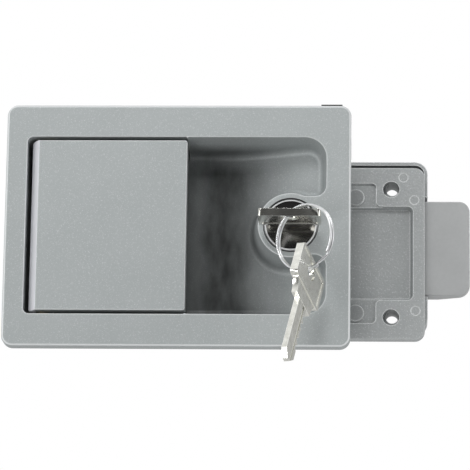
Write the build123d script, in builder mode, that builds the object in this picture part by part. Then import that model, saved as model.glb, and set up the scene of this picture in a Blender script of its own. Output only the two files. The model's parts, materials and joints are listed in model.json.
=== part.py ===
from build123d import *
from math import asin, cos, degrees, radians, sin
import os

# Paddle latch for a panel about 29 mm thick.  A die-cast pan with a hinged paddle and a keyed
# cylinder sits on the outside, and a flat case with a sliding bolt sits on the inside.
# Millimetres.  Origin: centre of the gasket's panel face.  +X towards the bolt, +Y into the panel,
# +Z up.  The user stands on the -Y side.

# ---------------------------------------------------------------- driving dimensions
PANEL_T = 29.0            # clamped panel thickness: pan in front of it, case behind it

GASKET_T = 1.2
GASKET_INSET = 0.6        # gasket outline inside the flange outline
GASKET_TAB_W = 8.6        # pull tab that shows above the flange
GASKET_TAB_H = 1.9
GASKET_TAB_X = 62.0

FLANGE_W = 140.0
FLANGE_H = 100.0
FLANGE_T = 6.0
FLANGE_R = 4.4
FLANGE_EDGE_R = 1.2
WALL = 2.5                # wall of the pan's tub

OPENING_LEFT = -61.5
OPENING_RIGHT = 60.1
OPENING_H = 73.4
OPENING_LEFT_R = 2.4
OPENING_RIGHT_R = 8.8
OPENING_EDGE_R = 0.5
POCKET_DEPTH = 20.2       # from the flange's front, under the paddle
POCKET_END_DEPTH = 11.5   # from the flange's front, at the right wall
POCKET_RAMP_X = 12.0      # where the floor starts to rise
POCKET_DRAFT = 9.0        # degrees
POCKET_FLOOR_R = 3.0

PADDLE_LEFT_GAP = 1.8     # between the paddle and the opening's left wall
PADDLE_END_GAP = 1.5      # between the paddle and the opening, above and below
PADDLE_RIGHT = 3.6
PADDLE_T = 3.4
PADDLE_RIM = 2.6          # width of the stiffening rim behind the plate
PADDLE_RIM_DEPTH = 6.4    # from the front face
PADDLE_BEVEL_W = 3.0
PADDLE_BEVEL_DEPTH = 4.6
PADDLE_EDGE = 0.5
PADDLE_CORNER_R = 1.0
GRIP_W = 9.0              # finger lip along the free edge
GRIP_DEPTH = 6.2
PADDLE_SWING = 27.0       # degrees

HINGE_X = -54.0
HINGE_DEPTH = 9.0         # from the flange's front
HINGE_PIN_R = 1.5
KNUCKLE_R = 4.2
HINGE_WASHER_R = 3.4
HINGE_WASHER_T = 1.1
KNUCKLE_L = 11.0
RUNNING = 0.05            # radial clearance of a turning pin
SLIP = 0.3                # gap between faces that pass each other

ARM_T = 4.0
ARM_FLANK = 3.0           # arm's driving face, right of the hinge axis
ARM_Z = 13.8              # lower edge of the arm, above the lever's body
ARM_W = 6.2
ARM_SLOT_SIDE = 0.6       # beside the arm, in the slots it passes through
ARM_PAN_SLOT = (-2.5, 12.5)     # ends of the pan's slot from the hinge axis
ARM_CASE_SLOT = (-3.5, 21.0)    # ends of the case's slot from the hinge axis
ARM_FOOT_L = 19.0
ARM_FOOT_T = 2.5
ARM_HUB_R = 3.6
ARM_SCREW_X = (-45.5, -36.5)
ARM_SCREW_GRIP = 2.4
ARM_SCREW_R = 1.45
ARM_SCREW_HEAD_R = 2.7
ARM_SCREW_HEAD_H = 1.7

BOSS_X = 45.8
BOSS_R = 13.2
BOSS_NECK_H = 24.0        # height of the web that joins the boss to the right wall
BOSS_NECK_R = 4.7
BOSS_SKIRT_R = 14.4
BOSS_BACK = 16.8

BARREL_R = 10.5
BARREL_BACK = 24.0
BARREL_RIM = 0.62         # bright rim round the plug's face
BARREL_GAP = 0.45         # shadow gap round the rim
BARREL_GAP_DEPTH = 2.0
NUT_ACROSS_FLATS = 27.0
NUT_T = 4.0

PLUG_R = 7.5
PLUG_FACE_T = 1.6
PLUG_TAIL = 6.4           # square tail
PLUG_TAIL_PLAY = 0.1
TAIL_HOLE_R = 5.8         # way through the case for the plug's tail
WASHER_R = 10.2
WASHER_T = 1.0
WASHER_SLOT_R = 9.6       # arc slot that the barrel's stop peg rides in
WASHER_SLOT_W = 3.2
STOP_PEG_R = 0.8
STOP_PEG_AT = 9.0
STOP_PEG_ANGLE = 45.0
LOCK_TURN = 90.0
CAM_T = 2.5
CAM_W = 10.0
CAM_DEPTH = 5.6           # cam's front face behind the case's front face
CAM_SCREW_R = 1.9
CAM_SCREW_HEAD_R = 3.6
CAM_SCREW_HEAD_H = 1.8
CAM_SCREW_L = 7.5
CAM_CORNER_R = 1.5
CAM_REACH_GAP = 0.4       # between the locked cam and the bolt

WAFER_COUNT = 5
WAFER_PITCH = 3.6
WAFER_FIRST = 4.6         # first wafer behind the plug's face
WAFER_T = 0.8
WAFER_W = 11.4
WAFER_H = 6.6
WAFER_PLAY = 0.15

KEY_BOW_W = 25.0
KEY_BOW_L = 15.5
KEY_BOW_T = 3.1
KEY_BORDER = 1.4
KEY_PANEL_DEPTH = 0.35
KEY_HOLE_R = 3.7
KEY_HOLE_AT = 5.2         # hole centre from the bow's outer end
KEY_NECK_L = 6.3
KEY_NECK_W = 15.0
KEY_NECK_T = 2.4
KEY_BLADE_L = 28.0
KEY_BLADE_W = 8.0
KEY_BLADE_T = 2.2
KEY_TIP = 3.0
KEY_GROOVE_W = 1.3
KEY_GROOVE_DEPTH = 0.55
KEY_CUTS = (1.0, 1.7, 0.8, 1.9, 1.3)
KEY_CUT_TOP = 1.6         # half width of a cut at the blade's edge
KEY_CUT_FLOOR = 0.5       # half width of a cut at its floor
KEYWAY_PLAY = 0.2

RING_R = 13.2             # mean radius
RING_WIRE = 1.3
RING_COIL_T = 1.25
RING_SEAM = 0.12
RING_DROP = 10.2          # ring centre below the inserted key's plane
RING_REACH = 7.7          # ring centre beyond the key's hole, along the ring's plane
RING_TURN = 35.0          # degrees, ring plane from the panel's plane
RING_CROSSING = 30.0      # degrees of arc where the wire changes coil
SPARE_ON_RING = 10.5      # degrees from the ring's lowest point
SPARE_SLACK = 1.6         # wire above the centre of the spare key's hole
SPARE_ACROSS = Vector(0.305, 0.82, -0.4845)
SPARE_POINTING = Vector(-0.18, -0.45, -0.875)

CASE_LEFT = -62.0
CASE_RIGHT = 100.3
CASE_H = 72.8
CASE_Z = -3.2
CASE_R = 4.2
CASE_EDGE_R = 0.5
CASE_FRONT_T = 4.8
CASE_ROOM = 8.4           # clear depth inside the case
COVER_T = 2.4
COVER_RIM_T = 1.4
COVER_RIGHT = 101.5
COVER_TOP = 36.8
COVER_BOTTOM = -35.2
RAIL_X = (75.7, 98.3)     # ends of the rails beside the bolt
COVER_R = 5.4
COVER_EDGE_R = 1.2
NOTCH_TOP = 21.8
NOTCH_BOTTOM = -20.5

FIX_HOLE_R = 3.4          # oversize holes of the front casting
FIX_BORE_R = 2.6          # bores of the cover, which guide the fixing screws
FIX_HOLE_X = 86.3
FIX_PITCH = 54.2
COVER_FLOAT_X = 0.5       # cover's bores from the front casting's holes
COVER_FLOAT_Z = 1.0
FIX_TOWER_R = 4.6

WINDOW_LEFT = 56.0
WINDOW_RIGHT = 95.4
WINDOW_H = 39.7
WINDOW_R = 2.3
WINDOW_DEPTH = 2.9
WINDOW_DRAFT = 22.0       # degrees
SIDE_POCKET_LEFT = 66.5
SIDE_POCKET_RIGHT = 80.1
SIDE_POCKET_H = 9.8
SIDE_POCKET_DEPTH = 1.0
SIDE_POCKET_R = 2.0
SIDE_POCKET_FLARE = 2.0   # hollow where the pocket meets the window
EJECTOR_AT = ((95.9, 19.4), (96.4, -27.5), (91.4, 29.0))
EJECTOR_R = 1.9
EJECTOR_DEPTH = 0.25

RIVET_X = (-30.0, 71.7)
RIVET_Z = (20.5, -28.5)
RIVET_R = 1.6
RIVET_HEAD_R = 3.6
RIVET_SET_R = 2.6         # head formed on the cover
RIVET_HEAD_H = 0.9

POST_X = (-50.0, 62.0)
POST_SPREAD = 56.0
POST_R = 4.2
TOWER_R = 3.2             # towers of the cover that the case screws pass through
SCREW_R = 2.0
SCREW_PLAY = 0.05
SCREW_HEAD_R = 3.8
SCREW_HEAD_H = 2.4
SCREW_GRIP = 13.0         # length inside the pan's post

BOLT_W = 40.0
BOLT_TIP = 118.9
BOLT_BACK = 72.0
BOLT_CORNER_R = 4.4
BOLT_EDGE_R = 0.5
BOLT_STEP_X = 91.0        # behind here the bolt is relieved to pass the upper rivet
BOLT_STEP_H = 1.9
BOLT_RAMP_L = 13.0
BOLT_NOSE_T = 2.6
BOLT_PLAY = 0.2
BOLT_TRAVEL = 17.0
TAIL_LEFT = -36.0
TAIL_TOP = -6.0
TAIL_BOTTOM = -19.0
TAIL_T = 3.0
TAIL_BACK_PLAY = 0.8

LEVER_T = 2.5
LEVER_UP = 16.0
LEVER_DOWN = 14.5
LEVER_NOSE_R = 3.0
LEVER_HUB_R = 5.0
LEVER_EYE_R = 3.6         # round the drive pin
LEVER_PIN_R = 2.5
LEVER_PIN_HEAD_R = 4.0
SPACER_R = 4.2
LEVER_FRONT_PLAY = 0.4
ARM_TO_LEVER = 0.4
DRIVE_PIN_R = 2.0
DRIVE_SLOT_PLAY = 0.45

SPRING_R = 2.5            # bolt spring, mean radius
SPRING_WIRE_R = 0.4
SPRING_TURNS = 9
SPRING_LUG_X = -12.0
SPRING_LUG_T = 3.0
SPRING_LUG_H = 5.8
SPRING_LUG_RISE = 5.6
SPRING_BACK_GAP = 0.2
SPRING_SLOT_RIGHT = 28.0
GUIDE_R = 1.5
GUIDE_L = 20.0

COIL_R = 2.7              # paddle spring, mean radius
COIL_WIRE_R = 0.6
COIL_TURNS = 8
COIL_LEG_BEND_R = 1.5

# ---------------------------------------------------------------- places worked out from them
PADDLE_LEFT = OPENING_LEFT + PADDLE_LEFT_GAP
PADDLE_H = OPENING_H - 2 * PADDLE_END_GAP
FRONT = -(GASKET_T + FLANGE_T)
FLANGE_BACK = -GASKET_T
FLOOR = FRONT + POCKET_DEPTH
END_FLOOR = FRONT + POCKET_END_DEPTH
HINGE_Y = FRONT + HINGE_DEPTH

CASE_FRONT = PANEL_T
CASE_INSIDE = CASE_FRONT + CASE_FRONT_T
CASE_INSIDE_BACK = CASE_INSIDE + CASE_ROOM
CASE_BACK = CASE_INSIDE_BACK + COVER_T

TAIL_BACK = CASE_INSIDE_BACK - TAIL_BACK_PLAY
TAIL_FRONT = TAIL_BACK - TAIL_T
TAIL_Z = (TAIL_TOP + TAIL_BOTTOM) / 2
LEVER_FRONT = CASE_INSIDE + LEVER_FRONT_PLAY
LEVER_BACK = LEVER_FRONT + LEVER_T
LEVER_SWING = 2 * degrees(asin(BOLT_TRAVEL / (2 * LEVER_DOWN)))
LEVER_LEAN = radians(LEVER_SWING / 2)
LEVER_X = HINGE_X + ARM_FLANK + ARM_TO_LEVER + LEVER_NOSE_R + LEVER_UP * sin(LEVER_LEAN)
DRIVE_X = LEVER_X + LEVER_DOWN * sin(LEVER_LEAN)

PLUG_BACK = BARREL_BACK - 0.2
WASHER_FRONT = BARREL_BACK + 0.1
CAM_FRONT = CASE_FRONT + CAM_DEPTH
CAM_BACK = CAM_FRONT + CAM_T
CAM_L = BOLT_BACK - BOSS_X - CAM_REACH_GAP

KEY_SHOULDER_GAP = 0.2
KEY_OUTER_END = FRONT - KEY_SHOULDER_GAP - KEY_NECK_L - KEY_BOW_L

FIX_Z = (CASE_Z + FIX_PITCH / 2, CASE_Z - FIX_PITCH / 2)
POST_Z = (CASE_Z + POST_SPREAD / 2, CASE_Z - POST_SPREAD / 2)

RING_ALONG = Vector(cos(radians(RING_TURN)), -sin(radians(RING_TURN)), 0)
KEY_HOLE = Vector(BOSS_X, KEY_OUTER_END + KEY_HOLE_AT, 0)
RING_CENTRE = KEY_HOLE + RING_ALONG * RING_REACH - Vector(0, 0, RING_DROP)
SPARE_HANG = (
    RING_CENTRE
    + RING_ALONG * (RING_R * sin(radians(SPARE_ON_RING)))
    - Vector(0, 0, RING_R * cos(radians(SPARE_ON_RING)))
)
SPARE_HOLE = SPARE_HANG + SPARE_POINTING * SPARE_SLACK


def facing_user(y):
    """Plane across the panel at depth y: local x is +X, local y is +Z, normal towards the user."""
    return Plane(origin=(0, y, 0), x_dir=(1, 0, 0), z_dir=(0, -1, 0))


def cylinder_along_y(x, z, radius, y_from, y_to, mode=Mode.ADD):
    """Round bar or hole along Y, inside the current part."""
    with BuildSketch(facing_user(y_to)) as profile:
        with Locations((x, z)):
            Circle(radius)
    extrude(profile.sketch, amount=y_to - y_from, mode=mode)


def block_along_y(x_from, x_to, z_from, z_to, y_from, y_to, mode=Mode.ADD):
    """Rectangular bar or window along Y, inside the current part."""
    with BuildSketch(facing_user(y_to)) as profile:
        with Locations(((x_from + x_to) / 2, (z_from + z_to) / 2)):
            Rectangle(x_to - x_from, z_to - z_from)
    extrude(profile.sketch, amount=y_to - y_from, mode=mode)


def save(builder, name):
    """Label a finished piece and write its STEP file."""
    builder.part.label = name
    export_step(builder.part, f"parts/{name}.step")


os.makedirs("parts", exist_ok=True)


# ---------------------------------------------------------------- pan
def tub_plan(grow):
    """Plan outline of the pocket: straight left wall, deep floor, then a ramp up to the right."""
    with BuildSketch(Plane.XY) as plan:
        with BuildLine():
            Polyline(
                (OPENING_RIGHT + grow, END_FLOOR + grow),
                (OPENING_RIGHT + grow, FRONT - 1),
                (OPENING_LEFT - grow, FRONT - 1),
                (OPENING_LEFT - grow, FLOOR + grow),
                (POCKET_RAMP_X, FLOOR + grow),
            )
            Spline(
                (POCKET_RAMP_X, FLOOR + grow),
                (OPENING_RIGHT + grow, END_FLOOR + grow),
                tangents=((1, 0), (1, -0.12)),
            )
        make_face()
    return plan.sketch


OPENING_W = OPENING_RIGHT - OPENING_LEFT
OPENING_X = (OPENING_RIGHT + OPENING_LEFT) / 2
POCKET_LEFT = PADDLE_RIGHT - 7.0      # the drafted pull pocket starts under the paddle's edge

# bay behind the paddle, straight-walled so that the paddle's back edge can swing in
with BuildPart() as paddle_bay:
    with BuildSketch(facing_user(FLOOR)) as bay_outline:
        with Locations(((OPENING_LEFT + PADDLE_RIGHT) / 2, 0)):
            Rectangle(PADDLE_RIGHT - OPENING_LEFT, OPENING_H)
        fillet(bay_outline.vertices().group_by(Axis.X)[0], OPENING_LEFT_R)
    extrude(amount=POCKET_DEPTH)

# pull pocket: drafted walls round a boss that stands out from the right wall
with BuildPart() as pull_pocket:
    with BuildSketch(facing_user(FRONT)) as pocket_outline:
        with Locations(((POCKET_LEFT + OPENING_RIGHT) / 2, 0)):
            Rectangle(OPENING_RIGHT - POCKET_LEFT, OPENING_H)
        fillet(pocket_outline.vertices().group_by(Axis.X)[-1], OPENING_RIGHT_R)
        with Locations((BOSS_X, 0)):
            Circle(BOSS_R, mode=Mode.SUBTRACT)
        with Locations(((BOSS_X + OPENING_RIGHT + 1) / 2, 0)):
            Rectangle(OPENING_RIGHT + 1 - BOSS_X, BOSS_NECK_H, mode=Mode.SUBTRACT)
        right = pocket_outline.vertices().group_by(Axis.X)[-1]
        fillet(right.filter_by(lambda v: abs(v.Y) < BOSS_NECK_H / 2 + 0.1), BOSS_NECK_R)
    extrude(amount=-POCKET_DEPTH, taper=POCKET_DRAFT)
    extrude(tub_plan(0), amount=OPENING_H, both=True, mode=Mode.INTERSECT)
    floor_edges = pull_pocket.edges().filter_by(lambda e: e.center().Y > END_FLOOR - 0.6)
    floor_edges = floor_edges.filter_by(lambda e: e.center().X > POCKET_LEFT + 5)
    fillet(floor_edges, POCKET_FLOOR_R)

with BuildPart() as tub:
    extrude(tub_plan(WALL), amount=OPENING_H / 2 + WALL, both=True)
    with BuildSketch(facing_user(FLOOR + WALL)):
        with Locations((OPENING_X, 0)):
            RectangleRounded(OPENING_W + 2 * WALL, OPENING_H + 2 * WALL, OPENING_LEFT_R + WALL)
    extrude(amount=FLOOR + WALL - FLANGE_BACK, mode=Mode.INTERSECT)

with BuildPart() as pan:
    with BuildSketch(facing_user(FLANGE_BACK)):
        RectangleRounded(FLANGE_W, FLANGE_H, FLANGE_R)
    extrude(amount=FLANGE_T)
    fillet(pan.faces().sort_by(Axis.Y)[0].edges(), FLANGE_EDGE_R)
    add(tub.part)
    cylinder_along_y(BOSS_X, 0, BOSS_SKIRT_R, FLANGE_BACK, BOSS_BACK)
    for post_x, post_root in zip(POST_X, (FLOOR + 1, END_FLOOR + WALL)):
        for post_z in POST_Z:
            cylinder_along_y(post_x, post_z, POST_R, post_root, CASE_FRONT)
    add(paddle_bay.part, mode=Mode.SUBTRACT)
    add(pull_pocket.part, mode=Mode.SUBTRACT)
    # soft rim round the opening
    front_face = pan.faces().sort_by(Axis.Y)[0]
    fillet(front_face.inner_wires().sort_by(SortBy.LENGTH)[-1].edges(), OPENING_EDGE_R)
    # threaded bores of the posts
    for post_x in POST_X:
        for post_z in POST_Z:
            bore_end = CASE_FRONT - SCREW_GRIP
            cylinder_along_y(
                post_x, post_z, SCREW_R + SCREW_PLAY, bore_end, CASE_FRONT, Mode.SUBTRACT
            )
    # seat of the lock barrel
    cylinder_along_y(BOSS_X, 0, BARREL_R + RUNNING, FRONT, BOSS_BACK, Mode.SUBTRACT)
    cylinder_along_y(
        BOSS_X, 0, BARREL_R + BARREL_GAP, FRONT, FRONT + BARREL_GAP_DEPTH, Mode.SUBTRACT
    )
    # slot for the arm and holes for the hinge pin
    block_along_y(
        HINGE_X + ARM_PAN_SLOT[0],
        HINGE_X + ARM_PAN_SLOT[1],
        ARM_Z - ARM_SLOT_SIDE,
        ARM_Z + ARM_W + ARM_SLOT_SIDE,
        FLOOR - 1,
        FLOOR + WALL + 1,
        Mode.SUBTRACT,
    )
    with BuildSketch(Plane.XY.offset(-FLANGE_H / 2)):
        with Locations((HINGE_X, HINGE_Y)):
            Circle(HINGE_PIN_R + RUNNING)
    extrude(amount=FLANGE_H, mode=Mode.SUBTRACT)
save(pan, "pan")

with BuildPart() as gasket:
    with BuildSketch(facing_user(0)):
        RectangleRounded(
            FLANGE_W - 2 * GASKET_INSET, FLANGE_H - 2 * GASKET_INSET, FLANGE_R - GASKET_INSET
        )
        with Locations((GASKET_TAB_X, FLANGE_H / 2)):
            Rectangle(GASKET_TAB_W, 2 * GASKET_TAB_H)
        with Locations((OPENING_X, 0)):
            RectangleRounded(
                OPENING_W + 2 * (WALL + SLIP),
                OPENING_H + 2 * (WALL + SLIP),
                OPENING_LEFT_R + WALL + SLIP,
                mode=Mode.SUBTRACT,
            )
    extrude(amount=GASKET_T)
save(gasket, "gasket")


# ---------------------------------------------------------------- paddle
PADDLE_W = PADDLE_RIGHT - PADDLE_LEFT
PADDLE_BACK = FRONT + PADDLE_T

with BuildPart() as paddle:
    # plan section: bevelled hinge edge, square free edge
    with BuildSketch(Plane.XY):
        with BuildLine():
            Polyline(
                (PADDLE_LEFT + PADDLE_BEVEL_W, FRONT),
                (PADDLE_RIGHT, FRONT),
                (PADDLE_RIGHT, FRONT + GRIP_DEPTH),
                (PADDLE_RIGHT - GRIP_W, FRONT + PADDLE_RIM_DEPTH),
                (PADDLE_LEFT, FRONT + PADDLE_RIM_DEPTH),
                (PADDLE_LEFT, FRONT + PADDLE_BEVEL_DEPTH),
                close=True,
            )
        make_face()
    extrude(amount=PADDLE_H / 2, both=True)
    fillet(paddle.edges().filter_by(Axis.Y), PADDLE_CORNER_R)
    fillet(paddle.faces().sort_by(Axis.Y)[0].edges(), PADDLE_EDGE)
    # hollow behind the plate
    block_along_y(
        PADDLE_LEFT + PADDLE_RIM,
        PADDLE_RIGHT - GRIP_W,
        PADDLE_RIM - PADDLE_H / 2,
        PADDLE_H / 2 - PADDLE_RIM,
        PADDLE_BACK,
        FRONT + PADDLE_RIM_DEPTH,
        Mode.SUBTRACT,
    )
    # finger groove behind the free edge
    with BuildSketch(Plane.XY):
        with Locations((PADDLE_RIGHT - GRIP_W * 0.55, FRONT + GRIP_DEPTH + 1.2)):
            Circle(GRIP_DEPTH / 2)
    extrude(amount=PADDLE_H / 2 - PADDLE_RIM, both=True, mode=Mode.SUBTRACT)
    # hinge knuckles at both ends, on webs from the plate
    for end in (1, -1):
        with BuildSketch(Plane.XY.offset(end * PADDLE_H / 2)):
            with Locations((HINGE_X, HINGE_Y)):
                Circle(KNUCKLE_R)
            with Locations((HINGE_X, (HINGE_Y + PADDLE_BACK) / 2)):
                Rectangle(2 * KNUCKLE_R, HINGE_Y - PADDLE_BACK + 1)
        extrude(amount=-end * KNUCKLE_L)
    with BuildSketch(Plane.XY):
        with Locations((HINGE_X, HINGE_Y)):
            Circle(HINGE_PIN_R + RUNNING)
    extrude(amount=PADDLE_H, both=True, mode=Mode.SUBTRACT)
    for screw_x in ARM_SCREW_X:
        cylinder_along_y(
            screw_x,
            ARM_Z + ARM_W / 2,
            ARM_SCREW_R + RUNNING,
            PADDLE_BACK - ARM_SCREW_GRIP - RUNNING,
            PADDLE_BACK,
            Mode.SUBTRACT,
        )
save(paddle, "paddle")

# steel arm: hub on the hinge pin, foot on the paddle's back, blade through the pan's floor
ARM_TIP = CASE_INSIDE_BACK - 0.5
with BuildPart() as paddle_arm:
    with BuildSketch(Plane.XY.offset(ARM_Z)):
        with Locations((HINGE_X, HINGE_Y)):
            Circle(ARM_HUB_R)
        with Locations((HINGE_X + ARM_FLANK - ARM_T / 2, (PADDLE_BACK + ARM_TIP) / 2)):
            Rectangle(ARM_T, ARM_TIP - PADDLE_BACK)
        with Locations((HINGE_X + ARM_FLANK + ARM_FOOT_L / 2 - 1, PADDLE_BACK + ARM_FOOT_T / 2)):
            Rectangle(ARM_FOOT_L + 2, ARM_FOOT_T)
        with Locations((HINGE_X, HINGE_Y)):
            Circle(HINGE_PIN_R + RUNNING, mode=Mode.SUBTRACT)
    extrude(amount=ARM_W)
    fillet(paddle_arm.edges().filter_by(Axis.X).group_by(Axis.Y)[-1], ARM_W / 6)
    for screw_x in ARM_SCREW_X:
        cylinder_along_y(
            screw_x,
            ARM_Z + ARM_W / 2,
            ARM_SCREW_R + RUNNING,
            PADDLE_BACK,
            PADDLE_BACK + ARM_FOOT_T,
            Mode.SUBTRACT,
        )
save(paddle_arm, "paddle_arm")


def turned_along_y(x, z, outline):
    """Round piece turned about the Y axis through (x, z), from (radius, y) points."""
    place = Plane(origin=(x, 0, z), x_dir=(1, 0, 0), z_dir=(0, 0, 1))
    with BuildSketch(place) as section:
        with BuildLine():
            Polyline(*outline, close=True)
        make_face()
    revolve(section.sketch, axis=Axis((x, 0, z), (0, 1, 0)))


def headed_screw(x, z, shank_r, head_r, head_h, seat, length, away):
    """Screw along Y: head on the face at depth seat, on the side that away (+1 or -1) points to."""
    crown = seat + away * head_h
    turned_along_y(
        x,
        z,
        (
            (0, seat - away * length),
            (shank_r * 0.7, seat - away * length),
            (shank_r, seat - away * (length - shank_r * 0.5)),
            (shank_r, seat),
            (head_r, seat),
            (head_r, seat + away * head_h * 0.35),
            (head_r * 0.82, seat + away * head_h * 0.8),
            (head_r * 0.5, crown),
            (0, crown),
        ),
    )
    slot = sorted((seat + away * head_h * 0.45, crown + away))
    arm = head_r * 0.55
    blade = head_r * 0.11
    block_along_y(x - arm, x + arm, z - blade, z + blade, *slot, Mode.SUBTRACT)
    block_along_y(x - blade, x + blade, z - arm, z + arm, *slot, Mode.SUBTRACT)


with BuildPart() as arm_screws:
    for screw_x in ARM_SCREW_X:
        headed_screw(
            screw_x,
            ARM_Z + ARM_W / 2,
            ARM_SCREW_R,
            ARM_SCREW_HEAD_R,
            ARM_SCREW_HEAD_H,
            PADDLE_BACK + ARM_FOOT_T,
            ARM_FOOT_T + ARM_SCREW_GRIP,
            1,
        )
save(arm_screws, "arm_screws")

with BuildPart() as hinge_pin:
    with BuildSketch(Plane.XY):
        with Locations((HINGE_X, HINGE_Y)):
            Circle(HINGE_PIN_R)
    extrude(amount=OPENING_H / 2 + WALL, both=True)
    chamfer(hinge_pin.edges(), 0.3)
save(hinge_pin, "hinge_pin")

with BuildPart() as hinge_washers:
    for end in (1, -1):
        with BuildSketch(Plane.XY.offset(end * (PADDLE_H + OPENING_H) / 4)):
            with Locations((HINGE_X, HINGE_Y)):
                Circle(HINGE_WASHER_R)
                Circle(HINGE_PIN_R + RUNNING, mode=Mode.SUBTRACT)
        extrude(amount=HINGE_WASHER_T / 2, both=True)
save(hinge_washers, "hinge_washers")

# torsion spring: close-wound coil on the pin, one leg on the pan's floor, one on the arm's flank
COIL_PITCH = 2 * COIL_WIRE_R * 0.97
COIL_TOP = COIL_PITCH * (COIL_TURNS - 1) / 2
LEG_ON_ARM_X = HINGE_X + ARM_FLANK + COIL_WIRE_R + RUNNING
with BuildPart() as paddle_spring:
    coil_place = Plane(origin=(HINGE_X, HINGE_Y, 0), x_dir=(1, 0, 0), z_dir=(0, -1, 0))
    with BuildSketch(coil_place) as coil_section:
        for turn in range(COIL_TURNS):
            with Locations((COIL_R, turn * COIL_PITCH - COIL_TOP)):
                Circle(COIL_WIRE_R)
    revolve(axis=Axis((HINGE_X, HINGE_Y, 0), (0, 0, 1)))
    with BuildLine() as arm_leg:
        FilletPolyline(
            (HINGE_X + COIL_R, HINGE_Y, COIL_TOP),
            (LEG_ON_ARM_X, HINGE_Y + 6, COIL_TOP),
            (LEG_ON_ARM_X, HINGE_Y + 6, ARM_Z + ARM_W / 2),
            radius=COIL_LEG_BEND_R,
        )
    with BuildSketch(Plane(origin=arm_leg.line @ 0, z_dir=arm_leg.line % 0)):
        Circle(COIL_WIRE_R)
    sweep(path=arm_leg.line)
    # the straight leg is drawn a hair thinner, so that it merges with the coil
    with BuildSketch(Plane(origin=(HINGE_X - COIL_R, HINGE_Y, -COIL_TOP), z_dir=(0, 1, 0))):
        Circle(COIL_WIRE_R - 0.02)
    extrude(amount=FLOOR - SLIP - HINGE_Y)
save(paddle_spring, "paddle_spring")


# ---------------------------------------------------------------- lock
with BuildPart() as lock_barrel:
    cylinder_along_y(BOSS_X, 0, BARREL_R, FRONT, BARREL_BACK)
    chamfer(lock_barrel.faces().sort_by(Axis.Y)[0].edges(), 0.2)
    cylinder_along_y(BOSS_X, 0, PLUG_R + RUNNING, FRONT, BARREL_BACK, Mode.SUBTRACT)
    cylinder_along_y(
        BOSS_X, 0, BARREL_R - BARREL_RIM, FRONT, FRONT + PLUG_FACE_T + 0.1, Mode.SUBTRACT
    )
    peg_x = BOSS_X + STOP_PEG_AT * cos(radians(STOP_PEG_ANGLE))
    peg_z = STOP_PEG_AT * sin(radians(STOP_PEG_ANGLE))
    cylinder_along_y(peg_x, peg_z, STOP_PEG_R, BARREL_BACK - 1, WASHER_FRONT + WASHER_T)
save(lock_barrel, "lock_barrel")

with BuildPart() as barrel_nut:
    with BuildSketch(facing_user(BOSS_BACK + NUT_T)):
        with Locations((BOSS_X, 0)):
            RegularPolygon(NUT_ACROSS_FLATS / 2, 6, major_radius=False)
            Circle(BARREL_R + RUNNING, mode=Mode.SUBTRACT)
    extrude(amount=NUT_T)
save(barrel_nut, "barrel_nut")

WAFER_Y = [FRONT + WAFER_FIRST + i * WAFER_PITCH for i in range(WAFER_COUNT)]
KEYWAY_X = KEY_BLADE_W / 2 + KEYWAY_PLAY
KEYWAY_Z = KEY_BLADE_T / 2 + KEYWAY_PLAY

with BuildPart() as lock_plug:
    cylinder_along_y(BOSS_X, 0, BARREL_R - BARREL_RIM - RUNNING, FRONT, FRONT + PLUG_FACE_T)
    cylinder_along_y(BOSS_X, 0, PLUG_R, FRONT, PLUG_BACK)
    half_tail = PLUG_TAIL / 2
    block_along_y(BOSS_X - half_tail, BOSS_X + half_tail, -half_tail, half_tail, PLUG_BACK, CAM_BACK)
    keyway_end = FRONT + KEY_BLADE_L + 2 * KEY_SHOULDER_GAP
    block_along_y(
        BOSS_X - KEYWAY_X, BOSS_X + KEYWAY_X, -KEYWAY_Z, KEYWAY_Z, FRONT, keyway_end, Mode.SUBTRACT
    )
    for wafer_y in WAFER_Y:
        block_along_y(
            BOSS_X - WAFER_W / 2 - WAFER_PLAY,
            BOSS_X + WAFER_W / 2 + WAFER_PLAY,
            -WAFER_H / 2 - WAFER_PLAY,
            WAFER_H / 2 + WAFER_PLAY,
            wafer_y - WAFER_T / 2 - WAFER_PLAY,
            wafer_y + WAFER_T / 2 + WAFER_PLAY,
            Mode.SUBTRACT,
        )
    bore_end = CAM_BACK - CAM_SCREW_L - 0.5
    cylinder_along_y(BOSS_X, 0, CAM_SCREW_R + RUNNING, bore_end, CAM_BACK, Mode.SUBTRACT)
save(lock_plug, "lock_plug")

with BuildPart() as wafers:
    for wafer_y in WAFER_Y:
        with BuildSketch(facing_user(wafer_y + WAFER_T / 2)):
            with Locations((BOSS_X, 0)):
                Rectangle(WAFER_W, WAFER_H)
                Rectangle(2 * KEYWAY_X, 2 * KEYWAY_Z, mode=Mode.SUBTRACT)
        extrude(amount=WAFER_T)
save(wafers, "wafers")

with BuildPart() as stop_washer:
    with BuildSketch(facing_user(WASHER_FRONT + WASHER_T)):
        with Locations((BOSS_X, 0)):
            Circle(WASHER_R)
            Rectangle(
                PLUG_TAIL + 2 * PLUG_TAIL_PLAY, PLUG_TAIL + 2 * PLUG_TAIL_PLAY, mode=Mode.SUBTRACT
            )
        with BuildLine(mode=Mode.PRIVATE):
            slot_path = CenterArc((BOSS_X, 0), WASHER_SLOT_R, STOP_PEG_ANGLE - 1, LOCK_TURN + 2)
        SlotArc(slot_path, WASHER_SLOT_W, mode=Mode.SUBTRACT)
    extrude(amount=WASHER_T)
save(stop_washer, "stop_washer")

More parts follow.
